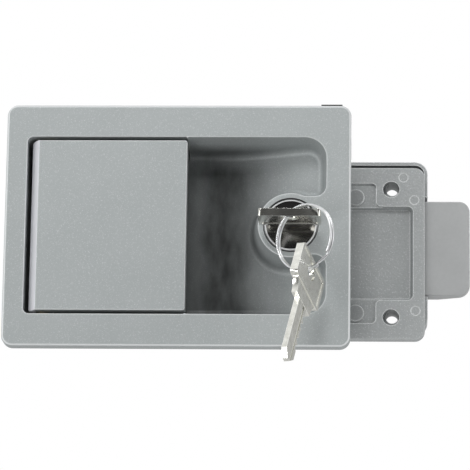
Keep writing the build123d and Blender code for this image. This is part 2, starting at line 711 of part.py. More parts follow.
with BuildPart() as lock_cam:
    with BuildSketch(facing_user(CAM_BACK)) as cam_outline:
        with Locations((BOSS_X, 0)):
            Circle(CAM_W / 2)
        with Locations((BOSS_X, CAM_L / 2)):
            Rectangle(CAM_W, CAM_L)
        fillet(cam_outline.vertices().group_by(Axis.Y)[-1], CAM_CORNER_R)
        with Locations((BOSS_X, 0)):
            Rectangle(
                PLUG_TAIL + 2 * PLUG_TAIL_PLAY, PLUG_TAIL + 2 * PLUG_TAIL_PLAY, mode=Mode.SUBTRACT
            )
    extrude(amount=CAM_T)
save(lock_cam, "lock_cam")

with BuildPart() as cam_screw:
    headed_screw(
        BOSS_X, 0, CAM_SCREW_R, CAM_SCREW_HEAD_R, CAM_SCREW_HEAD_H, CAM_BACK, CAM_SCREW_L, 1
    )
save(cam_screw, "cam_screw")


# ---------------------------------------------------------------- keys and ring
def key_blank(place):
    """Flat key: local x across the bow, y from the bow's outer end to the tip, z through it."""
    shoulder = KEY_BOW_L + KEY_NECK_L
    tip = shoulder + KEY_BLADE_L
    edge = KEY_BLADE_W / 2
    with BuildPart() as key:
        with BuildSketch(place):
            with Locations((0, KEY_BOW_L / 2)):
                RectangleRounded(KEY_BOW_W, KEY_BOW_L, KEY_BORDER)
        extrude(amount=KEY_BOW_T / 2, both=True)
        for side in (1, -1):
            with BuildSketch(place.offset(side * KEY_BOW_T / 2)):
                with Locations((0, KEY_BOW_L / 2)):
                    RectangleRounded(
                        KEY_BOW_W - 2 * KEY_BORDER, KEY_BOW_L - 2 * KEY_BORDER, KEY_BORDER / 2
                    )
            extrude(amount=-side * KEY_PANEL_DEPTH, mode=Mode.SUBTRACT)
        # neck with hollow-cut shoulders
        with BuildSketch(place):
            with BuildLine():
                right = ThreePointArc(
                    (KEY_BOW_W / 2 - 1.5, KEY_BOW_L - 1),
                    (KEY_NECK_W / 2 + 0.6, KEY_BOW_L + KEY_NECK_L * 0.45),
                    (KEY_NECK_W / 2, shoulder),
                )
                left = mirror(right, about=Plane.YZ)
                Line(right @ 0, left @ 0)
                Line(right @ 1, left @ 1)
            make_face()
        extrude(amount=KEY_NECK_T / 2, both=True)
        # blade with one cut edge, from the plug's face inwards
        outline = [(-edge, shoulder - 1), (-edge, tip - KEY_TIP), (-edge / 4, tip), (edge / 4, tip)]
        outline.append((edge, tip - KEY_TIP))
        for i, depth in reversed(list(enumerate(KEY_CUTS))):
            at = shoulder + KEY_SHOULDER_GAP + WAFER_FIRST + i * WAFER_PITCH
            outline += [(edge, at + KEY_CUT_TOP), (edge - depth, at + KEY_CUT_FLOOR)]
            outline += [(edge - depth, at - KEY_CUT_FLOOR), (edge, at - KEY_CUT_TOP)]
        outline.append((edge, shoulder - 1))
        with BuildSketch(place):
            with BuildLine():
                Polyline(*outline, close=True)
            make_face()
        extrude(amount=KEY_BLADE_T / 2, both=True)
        # milled groove along each side of the blade
        for side in (1, -1):
            with BuildSketch(place.offset(side * KEY_BLADE_T / 2)):
                with Locations((-side * KEY_GROOVE_W, shoulder + KEY_BLADE_L / 2 + 0.5)):
                    Rectangle(KEY_GROOVE_W, KEY_BLADE_L)
            extrude(amount=-side * KEY_GROOVE_DEPTH, mode=Mode.SUBTRACT)
        with BuildSketch(place):
            with Locations((0, KEY_HOLE_AT)):
                Circle(KEY_HOLE_R)
        extrude(amount=KEY_BOW_T, both=True, mode=Mode.SUBTRACT)
    return key


key_place = Plane(origin=(BOSS_X, KEY_OUTER_END, 0), x_dir=(1, 0, 0), z_dir=(0, 0, 1))
inserted_key = key_blank(key_place)
save(inserted_key, "inserted_key")

spare_place = Plane(
    origin=SPARE_HOLE - SPARE_POINTING * KEY_HOLE_AT,
    x_dir=SPARE_ACROSS,
    z_dir=SPARE_ACROSS.cross(SPARE_POINTING),
)
spare_key = key_blank(spare_place)
save(spare_key, "spare_key")

RING_NORMAL = RING_ALONG.cross(Vector(0, 0, 1))
RING_AXIS = Axis(RING_CENTRE, RING_NORMAL)
COIL_OFFSET = (RING_COIL_T + RING_SEAM) / 2
RING_END = -33.0          # degrees, where the outer coil's end shows
RING_SWEEP = 360 - RING_CROSSING


def wire_section(angle, lift):
    """Square section of the ring's wire at an angle round the ring and a lift along its axis."""
    radial = RING_ALONG * cos(radians(angle)) + Vector(0, 0, sin(radians(angle)))
    onwards = Vector(0, 0, cos(radians(angle))) - RING_ALONG * sin(radians(angle))
    centre = RING_CENTRE + radial * RING_R + RING_NORMAL * lift
    with BuildSketch(Plane(origin=centre, x_dir=radial, z_dir=onwards)) as section:
        Rectangle(RING_WIRE, RING_COIL_T)
    return section.sketch


with BuildPart() as split_ring:
    outer_start = wire_section(RING_END, COIL_OFFSET)
    revolve(outer_start, axis=RING_AXIS, revolution_arc=RING_SWEEP)
    inner_start = wire_section(RING_END, -COIL_OFFSET)
    revolve(inner_start, axis=RING_AXIS, revolution_arc=RING_SWEEP)
    loft(
        sections=[
            wire_section(RING_END + RING_SWEEP, COIL_OFFSET),
            wire_section(RING_END + RING_SWEEP + RING_CROSSING / 2, 0),
            wire_section(RING_END + 360, -COIL_OFFSET),
        ]
    )
save(split_ring, "split_ring")


# ---------------------------------------------------------------- case
CASE_W = CASE_RIGHT - CASE_LEFT
CASE_X = (CASE_RIGHT + CASE_LEFT) / 2
SIDE_POCKET_W = SIDE_POCKET_RIGHT - SIDE_POCKET_LEFT
SIDE_POCKET_X = (SIDE_POCKET_RIGHT + SIDE_POCKET_LEFT) / 2
WINDOW_TOP = CASE_Z + WINDOW_H / 2
WINDOW_BOTTOM = CASE_Z - WINDOW_H / 2
RIVET_SEAT = CASE_FRONT + SIDE_POCKET_DEPTH

with BuildPart() as case_front:
    with BuildSketch(facing_user(CASE_INSIDE)):
        with Locations((CASE_X, CASE_Z)):
            RectangleRounded(CASE_W, CASE_H, CASE_R)
    extrude(amount=CASE_FRONT_T)
    fillet(case_front.faces().sort_by(Axis.Y)[0].edges(), CASE_EDGE_R)
    # sunk window beside the cylinder
    with BuildSketch(facing_user(CASE_FRONT)):
        with Locations(((WINDOW_LEFT + WINDOW_RIGHT) / 2, CASE_Z)):
            RectangleRounded(WINDOW_RIGHT - WINDOW_LEFT, WINDOW_H, WINDOW_R)
    extrude(amount=-WINDOW_DEPTH, taper=WINDOW_DRAFT, mode=Mode.SUBTRACT)
    # shallow side pockets that hold the rivet heads, open and flared towards the window
    for side, edge_z in ((1, WINDOW_TOP), (-1, WINDOW_BOTTOM)):
        flare_x = SIDE_POCKET_RIGHT + SIDE_POCKET_FLARE
        with BuildSketch(facing_user(RIVET_SEAT)) as side_pocket:
            with Locations((SIDE_POCKET_X, edge_z + side * (SIDE_POCKET_H - 1) / 2)):
                Rectangle(SIDE_POCKET_W, SIDE_POCKET_H + 1)
            fillet(side_pocket.vertices().group_by(Axis.Y)[-1 if side > 0 else 0], SIDE_POCKET_R)
            with Locations((flare_x - 1, edge_z + side * (SIDE_POCKET_FLARE - 1) / 2)):
                Rectangle(SIDE_POCKET_FLARE * 1.5, SIDE_POCKET_FLARE + 1)
            with Locations((flare_x, edge_z + side * SIDE_POCKET_FLARE)):
                Circle(SIDE_POCKET_FLARE, mode=Mode.SUBTRACT)
        extrude(amount=SIDE_POCKET_DEPTH, mode=Mode.SUBTRACT)
    for mark_x, mark_z in EJECTOR_AT:
        cylinder_along_y(
            mark_x, mark_z, EJECTOR_R, CASE_FRONT, CASE_FRONT + EJECTOR_DEPTH, Mode.SUBTRACT
        )
    for rivet_x in RIVET_X:
        for rivet_z in RIVET_Z:
            cylinder_along_y(
                rivet_x, rivet_z, RIVET_HEAD_R + SLIP, CASE_FRONT, RIVET_SEAT, Mode.SUBTRACT
            )
            cylinder_along_y(
                rivet_x, rivet_z, RIVET_R + RUNNING, RIVET_SEAT, CASE_INSIDE, Mode.SUBTRACT
            )
    for fix_z in FIX_Z:
        cylinder_along_y(FIX_HOLE_X, fix_z, FIX_HOLE_R, CASE_FRONT, CASE_INSIDE, Mode.SUBTRACT)
    for post_x in POST_X:
        for post_z in POST_Z:
            cylinder_along_y(
                post_x, post_z, SCREW_R + 2 * SCREW_PLAY, CASE_FRONT, CASE_INSIDE, Mode.SUBTRACT
            )
    # ways through for the arm, the lock's tail and the lever's pin
    block_along_y(
        HINGE_X + ARM_CASE_SLOT[0],
        HINGE_X + ARM_CASE_SLOT[1],
        ARM_Z - ARM_SLOT_SIDE,
        ARM_Z + ARM_W + ARM_SLOT_SIDE,
        CASE_FRONT,
        CASE_INSIDE,
        Mode.SUBTRACT,
    )
    cylinder_along_y(BOSS_X, 0, TAIL_HOLE_R, CASE_FRONT, CASE_INSIDE, Mode.SUBTRACT)
    cylinder_along_y(LEVER_X, 0, LEVER_PIN_R + RUNNING, CASE_FRONT, CASE_INSIDE, Mode.SUBTRACT)
    cylinder_along_y(LEVER_X, 0, LEVER_PIN_HEAD_R + SLIP, CASE_FRONT, RIVET_SEAT, Mode.SUBTRACT)
save(case_front, "case_front")

COVER_X = (COVER_RIGHT + CASE_LEFT) / 2
COVER_W = COVER_RIGHT - CASE_LEFT
COVER_Z = (COVER_TOP + COVER_BOTTOM) / 2
COVER_H = COVER_TOP - COVER_BOTTOM
COVER_FIX = [(FIX_HOLE_X + COVER_FLOAT_X, z + COVER_FLOAT_Z) for z in FIX_Z]
SPRING_Y = CASE_INSIDE_BACK - SPRING_R - SPRING_WIRE_R - SPRING_BACK_GAP

with BuildPart() as case_cover:
    with BuildSketch(facing_user(CASE_BACK)):
        with Locations((COVER_X, COVER_Z)):
            RectangleRounded(COVER_W, COVER_H, COVER_R)
    extrude(amount=CASE_BACK - CASE_INSIDE)
    fillet(case_cover.faces().sort_by(Axis.Y)[-1].edges(), COVER_EDGE_R)
    with BuildSketch(facing_user(CASE_INSIDE_BACK)):
        with Locations((COVER_X, COVER_Z)):
            RectangleRounded(
                COVER_W - 2 * COVER_RIM_T, COVER_H - 2 * COVER_RIM_T, COVER_R - COVER_RIM_T
            )
    extrude(amount=CASE_ROOM, mode=Mode.SUBTRACT)
    block_along_y(
        COVER_RIGHT - 2 * COVER_RIM_T,
        COVER_RIGHT + 1,
        NOTCH_BOTTOM,
        NOTCH_TOP,
        CASE_INSIDE,
        CASE_INSIDE_BACK,
        Mode.SUBTRACT,
    )
    # towers round the fixings, up to the front casting
    for fix_x, fix_z in COVER_FIX:
        cylinder_along_y(fix_x, fix_z, FIX_TOWER_R, CASE_INSIDE, CASE_BACK)
        cylinder_along_y(fix_x, fix_z, FIX_BORE_R, CASE_INSIDE, CASE_BACK, Mode.SUBTRACT)
    for post_x in POST_X:
        for post_z in POST_Z:
            cylinder_along_y(post_x, post_z, TOWER_R, CASE_INSIDE, CASE_BACK)
            cylinder_along_y(
                post_x, post_z, SCREW_R + 2 * SCREW_PLAY, CASE_INSIDE, CASE_BACK, Mode.SUBTRACT
            )
    for rivet_x in RIVET_X:
        for rivet_z in RIVET_Z:
            cylinder_along_y(
                rivet_x, rivet_z, RIVET_R + RUNNING, CASE_INSIDE_BACK, CASE_BACK, Mode.SUBTRACT
            )
    # rails above and below the bolt
    for side in (1, -1):
        rail = sorted((side * (BOLT_W / 2 + SLIP), side * (BOLT_W / 2 + SLIP + COVER_RIM_T)))
        block_along_y(*RAIL_X, *rail, CASE_INSIDE, CASE_INSIDE_BACK)
    # fixed lug inside the tail's slot, with a bore for the spring's guide
    lug_y = CASE_INSIDE_BACK - SPRING_LUG_RISE
    block_along_y(
        SPRING_LUG_X - SPRING_LUG_T,
        SPRING_LUG_X,
        TAIL_Z - SPRING_LUG_H / 2,
        TAIL_Z + SPRING_LUG_H / 2,
        lug_y,
        CASE_INSIDE_BACK,
    )
    with BuildSketch(Plane(origin=(SPRING_LUG_X - SPRING_LUG_T, SPRING_Y, TAIL_Z), z_dir=(1, 0, 0))):
        Circle(GUIDE_R + RUNNING)
    extrude(amount=SPRING_LUG_T, mode=Mode.SUBTRACT)
    cylinder_along_y(LEVER_X, 0, LEVER_PIN_R + RUNNING, CASE_INSIDE_BACK, CASE_BACK, Mode.SUBTRACT)
save(case_cover, "case_cover")

with BuildPart() as case_screws:
    for post_x in POST_X:
        for post_z in POST_Z:
            headed_screw(
                post_x,
                post_z,
                SCREW_R,
                SCREW_HEAD_R,
                SCREW_HEAD_H,
                CASE_BACK,
                CASE_BACK - CASE_FRONT + SCREW_GRIP - 1,
                1,
            )
save(case_screws, "case_screws")


def rivet(x, z, shank_r, front_head_r, front_seat, back_head_r):
    """Rivet through the case: flat head sunk in the front casting, set head on the cover."""
    turned_along_y(
        x,
        z,
        (
            (0, front_seat - RIVET_HEAD_H),
            (front_head_r - 0.3, front_seat - RIVET_HEAD_H),
            (front_head_r, front_seat - RIVET_HEAD_H + 0.3),
            (front_head_r, front_seat),
            (shank_r, front_seat),
            (shank_r, CASE_BACK),
            (back_head_r, CASE_BACK),
            (back_head_r * 0.6, CASE_BACK + RIVET_HEAD_H),
            (0, CASE_BACK + RIVET_HEAD_H),
        ),
    )


with BuildPart() as case_rivets:
    for rivet_x in RIVET_X:
        for rivet_z in RIVET_Z:
            rivet(rivet_x, rivet_z, RIVET_R, RIVET_HEAD_R, RIVET_SEAT, RIVET_SET_R)
save(case_rivets, "case_rivets")


# ---------------------------------------------------------------- bolt and reversing lever
with BuildPart() as lever_pin:
    rivet(LEVER_X, 0, LEVER_PIN_R, LEVER_PIN_HEAD_R, RIVET_SEAT, LEVER_PIN_HEAD_R)
save(lever_pin, "lever_pin")

lever_place = Plane(
    origin=(LEVER_X, LEVER_BACK, 0),
    x_dir=(cos(LEVER_LEAN), 0, sin(LEVER_LEAN)),
    z_dir=(0, -1, 0),
)
with BuildPart() as reversing_lever:
    with BuildSketch(lever_place):
        Circle(LEVER_HUB_R)
        with Locations((0, LEVER_UP)):
            Circle(LEVER_NOSE_R)
        with Locations((0, -LEVER_DOWN)):
            Circle(LEVER_EYE_R)
        make_hull()
        Circle(LEVER_PIN_R + RUNNING, mode=Mode.SUBTRACT)
        with Locations((0, -LEVER_DOWN)):
            Circle(DRIVE_PIN_R + RUNNING, mode=Mode.SUBTRACT)
    extrude(amount=LEVER_T)
save(reversing_lever, "reversing_lever")

DRIVE_Z = -LEVER_DOWN * cos(LEVER_LEAN)
with BuildPart() as drive_pin:
    cylinder_along_y(DRIVE_X, DRIVE_Z, DRIVE_PIN_R, LEVER_FRONT, TAIL_BACK)
    chamfer(drive_pin.faces().sort_by(Axis.Y)[-1].edges(), 0.3)
save(drive_pin, "drive_pin")

with BuildPart() as lever_spacer:
    cylinder_along_y(LEVER_X, 0, SPACER_R, LEVER_BACK + 0.15, CASE_INSIDE_BACK - 0.1)
    cylinder_along_y(
        LEVER_X, 0, LEVER_PIN_R + RUNNING, LEVER_BACK, CASE_INSIDE_BACK, Mode.SUBTRACT
    )
save(lever_spacer, "lever_spacer")

BOLT_FRONT = CASE_INSIDE + BOLT_PLAY
BOLT_REAR = CASE_INSIDE_BACK - BOLT_PLAY
SLOT_HALF = DRIVE_PIN_R + DRIVE_SLOT_PLAY
DRIVE_LOW = -LEVER_DOWN - DRIVE_PIN_R - DRIVE_SLOT_PLAY
DRIVE_HIGH = DRIVE_Z + DRIVE_PIN_R + DRIVE_SLOT_PLAY
SPRING_SLOT_LEFT = SPRING_LUG_X - SPRING_LUG_T - 2 * SLIP
SPRING_SLOT_HALF = SPRING_R + SPRING_WIRE_R + SLIP

with BuildPart() as bolt:
    # plan section with the slam ramp on the far side, trimmed to rounded corners
    with BuildSketch(Plane.XY):
        with BuildLine():
            Polyline(
                (BOLT_BACK, BOLT_FRONT),
                (BOLT_TIP, BOLT_FRONT),
                (BOLT_TIP, BOLT_FRONT + BOLT_NOSE_T),
                (BOLT_TIP - BOLT_RAMP_L, BOLT_REAR),
                (BOLT_BACK, BOLT_REAR),
                close=True,
            )
        make_face()
    extrude(amount=BOLT_W / 2, both=True)
    with BuildSketch(facing_user(BOLT_REAR)) as bolt_outline:
        with Locations(((BOLT_BACK + BOLT_TIP) / 2, 0)):
            Rectangle(BOLT_TIP - BOLT_BACK, BOLT_W)
        fillet(bolt_outline.vertices().group_by(Axis.X)[-1], BOLT_CORNER_R)
    extrude(amount=BOLT_REAR - BOLT_FRONT, mode=Mode.INTERSECT)
    fillet(bolt.faces().sort_by(Axis.Y)[0].edges().filter_by(Axis.Z, reverse=True), BOLT_EDGE_R)
    block_along_y(
        BOLT_BACK - 1,
        BOLT_STEP_X,
        BOLT_W / 2 - BOLT_STEP_H,
        BOLT_W / 2 + 1,
        BOLT_FRONT,
        BOLT_REAR,
        Mode.SUBTRACT,
    )
    block_along_y(TAIL_LEFT, BOLT_BACK + 1, TAIL_BOTTOM, TAIL_TOP, TAIL_FRONT, TAIL_BACK)
    block_along_y(
        DRIVE_X - SLOT_HALF,
        DRIVE_X + SLOT_HALF,
        DRIVE_LOW,
        DRIVE_HIGH,
        TAIL_FRONT,
        TAIL_BACK,
        Mode.SUBTRACT,
    )
    block_along_y(
        SPRING_SLOT_LEFT,
        SPRING_SLOT_RIGHT,
        TAIL_Z - SPRING_SLOT_HALF,
        TAIL_Z + SPRING_SLOT_HALF,
        TAIL_FRONT,
        TAIL_BACK,
        Mode.SUBTRACT,
    )
save(bolt, "bolt")

spring_place = Plane(origin=(SPRING_LUG_X, SPRING_Y, TAIL_Z), z_dir=(1, 0, 0))
with BuildPart() as spring_guide:
    with BuildSketch(spring_place.offset(-SPRING_LUG_T)):
        Circle(GUIDE_R)
    extrude(amount=SPRING_LUG_T + GUIDE_L)
    chamfer(spring_guide.faces().sort_by(Axis.X)[-1].edges(), 0.4)
save(spring_guide, "spring_guide")

SPRING_L = SPRING_SLOT_RIGHT - SPRING_LUG_X - 2 * SPRING_WIRE_R - 2 * RUNNING
with BuildPart() as bolt_spring:
    spring_start = SPRING_LUG_X + SPRING_WIRE_R + RUNNING
    with BuildLine() as wire:
        Helix(
            pitch=SPRING_L / SPRING_TURNS,
            height=SPRING_L,
            radius=SPRING_R,
            center=(spring_start, SPRING_Y, TAIL_Z),
            direction=(1, 0, 0),
        )
    with BuildSketch(Plane(origin=wire.line @ 0, z_dir=wire.line % 0)):
        Circle(SPRING_WIRE_R)
    sweep(path=wire.line, is_frenet=True)
save(bolt_spring, "bolt_spring")
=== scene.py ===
# %% [markdown]
# # A paddle latch, dressed for a studio picture
# The latch arrives as an exact engineering model: every casting, pin and plate is already in place.
# This lesson leaves those solids where they are and gives them the surfaces of the real thing: silver
# paint with fine flakes, plated steel, mirror chrome on the lock and handled nickel on the keys.
# Three small pieces are drawn again.  The key ring becomes a swept wire, because a real wire has rounded
# edges that a plain cut solid lacks, and the two springs become pieces of their own.

# %% Load the fixed frame
import json
import math

import bmesh
import bpy
import numpy as np
from mathutils import Matrix, Vector


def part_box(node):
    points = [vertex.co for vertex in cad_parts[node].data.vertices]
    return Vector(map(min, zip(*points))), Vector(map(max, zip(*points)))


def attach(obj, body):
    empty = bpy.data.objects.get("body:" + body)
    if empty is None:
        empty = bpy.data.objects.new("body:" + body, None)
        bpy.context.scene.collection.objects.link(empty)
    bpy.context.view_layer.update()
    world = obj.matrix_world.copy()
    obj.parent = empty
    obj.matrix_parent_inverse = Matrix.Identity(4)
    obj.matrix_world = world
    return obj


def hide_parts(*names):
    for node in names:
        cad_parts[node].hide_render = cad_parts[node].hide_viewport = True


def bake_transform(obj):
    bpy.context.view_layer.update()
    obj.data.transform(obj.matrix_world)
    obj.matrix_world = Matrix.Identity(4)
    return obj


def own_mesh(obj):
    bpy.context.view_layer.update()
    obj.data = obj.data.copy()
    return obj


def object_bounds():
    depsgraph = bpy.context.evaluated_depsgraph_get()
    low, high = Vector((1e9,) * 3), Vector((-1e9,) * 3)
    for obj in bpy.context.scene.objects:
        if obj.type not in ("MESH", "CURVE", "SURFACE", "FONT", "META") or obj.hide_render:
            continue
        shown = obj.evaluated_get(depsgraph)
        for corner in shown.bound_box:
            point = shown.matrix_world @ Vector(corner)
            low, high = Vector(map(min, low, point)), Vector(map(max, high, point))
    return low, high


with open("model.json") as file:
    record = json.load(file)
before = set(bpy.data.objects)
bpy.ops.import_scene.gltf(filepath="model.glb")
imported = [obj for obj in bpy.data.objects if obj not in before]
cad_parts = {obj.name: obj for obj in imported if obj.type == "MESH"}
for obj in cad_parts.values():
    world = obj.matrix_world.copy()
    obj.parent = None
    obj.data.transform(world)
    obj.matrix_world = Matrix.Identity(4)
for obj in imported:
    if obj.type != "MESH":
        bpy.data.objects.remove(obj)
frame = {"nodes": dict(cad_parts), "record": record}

cad_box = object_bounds()
nodes = frame["nodes"]
print("pieces:", len(nodes), "box:", [round(v, 4) for v in (*cad_box[0], *cad_box[1])])

# %% [markdown]
# ## A small kit for procedural finishes
# Every finish below is one Principled shader fed by noise read in Object coordinates, which are metres
# on the real part.  A noise scale of 1000 therefore means detail of about one millimetre.  Working in
# real sizes keeps grain, flakes and scratches believable on large and small pieces alike.


# %% Patterns that a finish can read
def start_finish(name):
    """New material with its Principled shader and Object coordinates ready to use."""
    finish = bpy.data.materials.new(name)
    finish.use_nodes = True
    tree = finish.node_tree
    shader = tree.nodes["Principled BSDF"]
    where = tree.nodes.new("ShaderNodeTexCoord").outputs["Object"]
    return finish, tree, shader, where


def grain(tree, where, scale, detail=3.0, stretch=None):
    """Noise value 0..1 at points * scale; stretch multiplies each axis first, for streaks."""
    noise = tree.nodes.new("ShaderNodeTexNoise")
    noise.inputs["Scale"].default_value = scale
    noise.inputs["Detail"].default_value = detail
    if stretch:
        mapping = tree.nodes.new("ShaderNodeMapping")
        mapping.inputs["Scale"].default_value = stretch
        tree.links.new(where, mapping.inputs["Vector"])
        where = mapping.outputs["Vector"]
    tree.links.new(where, noise.inputs["Vector"])
    return noise.outputs["Fac"]


def cells(tree, where, scale):
    """Random value per small cell, the same all over one cell, like a single metal flake."""
    flakes = tree.nodes.new("ShaderNodeTexVoronoi")
    flakes.inputs["Scale"].default_value = scale
    tree.links.new(where, flakes.inputs["Vector"])
    split = tree.nodes.new("ShaderNodeSeparateColor")
    tree.links.new(flakes.outputs["Color"], split.inputs["Color"])
    return split.outputs["Red"]


def place_axes(tree, where):
    """The X, Y and Z of a place, as three values in metres."""
    axes = tree.nodes.new("ShaderNodeSeparateXYZ")
    tree.links.new(where, axes.inputs["Vector"])
    return axes.outputs["X"], axes.outputs["Y"], axes.outputs["Z"]


print("patterns ready: grain, cells, place")


# %% Arithmetic between nodes
def calculate(tree, operation, *values):
    """Result of one Math node on the values."""
    step = tree.nodes.new("ShaderNodeMath")
    step.operation = operation
    for socket, value in zip(step.inputs, values):
        tree.links.new(value, socket)
    return step.outputs["Value"]


def add(tree, first, second):
    """Sum of two values."""
    return calculate(tree, "ADD", first, second)


def product(tree, first, *others):
    """All the values multiplied together."""
    result = first
    for value in others:
        result = calculate(tree, "MULTIPLY", result, value)
    return result


def spread(tree, value, low, high, from_low=0.0, from_high=1.0):
    """The value carried linearly from one range to another and held at its ends."""
    remap = tree.nodes.new("ShaderNodeMapRange")
    remap.inputs["From Min"].default_value = from_low
    remap.inputs["From Max"].default_value = from_high
    remap.inputs["To Min"].default_value = low
    remap.inputs["To Max"].default_value = high
    tree.links.new(value, remap.inputs["Value"])
    return remap.outputs["Result"]


print("arithmetic ready: add, product, spread")


# %% Colour, bump and wear
def tint(tree, value, dark, light):
    """Colour between dark and light, chosen by a value from 0 to 1."""
    mix = tree.nodes.new("ShaderNodeMix")
    mix.data_type = "RGBA"
    mix.inputs["A"].default_value = (*dark, 1.0)
    mix.inputs["B"].default_value = (*light, 1.0)
    tree.links.new(value, mix.inputs["Factor"])
    return mix.outputs["Result"]


def cover(tree, base, colour, share):
    """Base colour that gives way to a fixed colour by a share from 0 to 1."""
    mix = tree.nodes.new("ShaderNodeMix")
    mix.data_type = "RGBA"
    mix.inputs["B"].default_value = (*colour, 1.0)
    tree.links.new(base, mix.inputs["A"])
    tree.links.new(share, mix.inputs["Factor"])
    return mix.outputs["Result"]


def dent(tree, shader, height, strength, depth):
    """Bump: the height value tilts the surface by up to depth metres, scaled by strength."""
    bump = tree.nodes.new("ShaderNodeBump")
    bump.inputs["Strength"].default_value = strength
    bump.inputs["Distance"].default_value = depth
    tree.links.new(height, bump.inputs["Height"])
    tree.links.new(bump.outputs["Normal"], shader.inputs["Normal"])


EDGE_HIGHLIGHT_SHARE = 0.9
EDGE_HIGHLIGHT_LIKENESS = (0.92, 0.998)


def edge_painted_highlight(tree, coat, colour, radius):
    """Colour that turns towards another, paler one within a small radius, in metres, of every sharp
    edge, as a painted highlight.

    The Bevel node gives the normal that a rounded edge would have.  Where its dot product with the
    true normal falls below one, an edge is near.
    """
    rounded = tree.nodes.new("ShaderNodeBevel")
    rounded.samples = 6
    rounded.inputs["Radius"].default_value = radius
    true_normal = tree.nodes.new("ShaderNodeNewGeometry").outputs["Normal"]
    alike = tree.nodes.new("ShaderNodeVectorMath")
    alike.operation = "DOT_PRODUCT"
    tree.links.new(rounded.outputs["Normal"], alike.inputs[0])
    tree.links.new(true_normal, alike.inputs[1])
    # Painted highlight: near every sharp edge the colour turns towards the paler one.
    near_edge = spread(tree, alike.outputs["Value"], EDGE_HIGHLIGHT_SHARE, 0.0, *EDGE_HIGHLIGHT_LIKENESS)
    return cover(tree, coat, colour, near_edge)


print("colour tools ready: tint, cover, dent, edge_painted_highlight")

# %% [markdown]
# ## Painted shade in the pull pocket
# The floor of the pull pocket is painted dark and dull: painted shade for the shadow that falls deep in
# the pocket, broken into soft streaks.  A texture image could paint that, but a rule by place is exact
# and needs no unwrapping.  Each line of the rule is a ramp along one axis, written as the two shares and
# the two places in metres between which the share changes.  The ramps are multiplied together.

# %% Painted shade in the pull pocket
POCKET_SHADE_COLOUR = (0.026, 0.0275, 0.027)
BEHIND_FRONT = (0.0, 1.0, 0.000, 0.008)      # along Y, from the panel's face to the pocket's depth
PAST_FLOOR = (1.0, 0.0, 0.0132, 0.0136)      # along Y, so that the back of the pan gets no painted shade
SIDE_WALLS = (1.0, 0.0, 0.0371, 0.0376)      # along the distance from half height, the same for walls
UPPER_WALL = (1.0, 0.78, 0.026, 0.031)       # along Z, less painted shade under the top wall
UNDER_PADDLE = (-0.10, 0.20, 0.003, 0.014)   # along X, from the paddle's free edge
FLAT_FLOOR = (1.0, 0.0, 0.020, 0.038)        # along X, towards the ramp
RAMP = (0.76, 0.04, 0.024, 0.053)            # along X, up the ramp towards the lock
STREAK_GRAIN = (110, 5.0, (1.8, 1.0, 0.7))   # scale, detail and stretch
STREAKS = (0.90, 1.04, 0.3, 0.7)
SHINE = (0.5, 0.12)                          # specular level outside and inside the painted shade


def pocket_painted_shade(tree, where, base, shader):
    """Base colour that gives way to painted shade, dark and dull, in the pull pocket.

    Share of painted shade = ((under paddle * flat floor) + ramp) * the other ramps * soft vertical
    streaks.
    """
    x, y, z = place_axes(tree, where)
    off_middle = calculate(tree, "ABSOLUTE", z)
    floor_parts = product(tree, spread(tree, x, *UNDER_PADDLE), spread(tree, x, *FLAT_FLOOR))
    share = product(
        tree,
        add(tree, floor_parts, spread(tree, x, *RAMP)),
        spread(tree, y, *BEHIND_FRONT),
        spread(tree, y, *PAST_FLOOR),
        spread(tree, off_middle, *SIDE_WALLS),
        spread(tree, z, *UPPER_WALL),
        spread(tree, grain(tree, where, *STREAK_GRAIN), *STREAKS),
    )
    # Painted shade: by this share the pocket floor turns dark and dull, with less specular.
    tree.links.new(spread(tree, share, *SHINE), shader.inputs["Specular IOR Level"])
    return cover(tree, base, POCKET_SHADE_COLOUR, share)


# The range printed is that of the painted shade in the pocket.
print("thin coat from x =", UNDER_PADDLE[2], "to", RAMP[3])

# %% [markdown]
# ## Painted shade round the lock
# A thin black ring of painted shade lies between the lock's bright rim and the boss's face, where the
# gap round the barrel falls dark.  It is too thin to need a solid of its own, so it is painted by
# distance from the lock's axis.

# %% Painted shade ring on the boss
GAP_SHADE_BLACK = (0.012, 0.012, 0.012)
GAP_SHADE_STARTS = (0.0, 0.95, 0.01050, 0.01060)
GAP_SHADE_ENDS = (1.0, 0.0, 0.01115, 0.01130)
GAP_SHADE_DEPTH = (0.0008, 0.0010)


def vector_step(tree, operation, vector, fixed=(0.0, 0.0, 0.0)):
    """Node of one Vector Math step on a vector and, where the step needs it, a fixed one."""
    step = tree.nodes.new("ShaderNodeVectorMath")
    step.operation = operation
    step.inputs[1].default_value = fixed
    tree.links.new(vector, step.inputs[0])
    return step


def lock_gap_painted_shade(tree, where, base):
    """Base colour with a black ring of painted shade on the boss's face, round the gap at the lock's
    barrel.

    The distance from the lock's axis is the length of the place with its Y set to nought.
    """
    low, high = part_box("lock_plug")
    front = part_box("pan")[0].y
    lock_axis = ((low.x + high.x) / 2, 0.0, (low.z + high.z) / 2)
    from_axis = vector_step(tree, "SUBTRACT", where, lock_axis).outputs["Vector"]
    flat = vector_step(tree, "MULTIPLY", from_axis, (1.0, 0.0, 1.0)).outputs["Vector"]
    distance = vector_step(tree, "LENGTH", flat).outputs["Value"]
    depth = place_axes(tree, where)[1]
    on_face = spread(tree, depth, 1.0, 0.0, front + GAP_SHADE_DEPTH[0], front + GAP_SHADE_DEPTH[1])
    starts = spread(tree, distance, *GAP_SHADE_STARTS)
    ends = spread(tree, distance, *GAP_SHADE_ENDS)
    # Painted shade: a black ring on the boss's face round the lock's barrel.
    return cover(tree, base, GAP_SHADE_BLACK, product(tree, starts, ends, on_face))


# The ring printed here is painted shade.
print("seal ring from", GAP_SHADE_STARTS[2], "to", GAP_SHADE_ENDS[3], "m from the lock's axis")

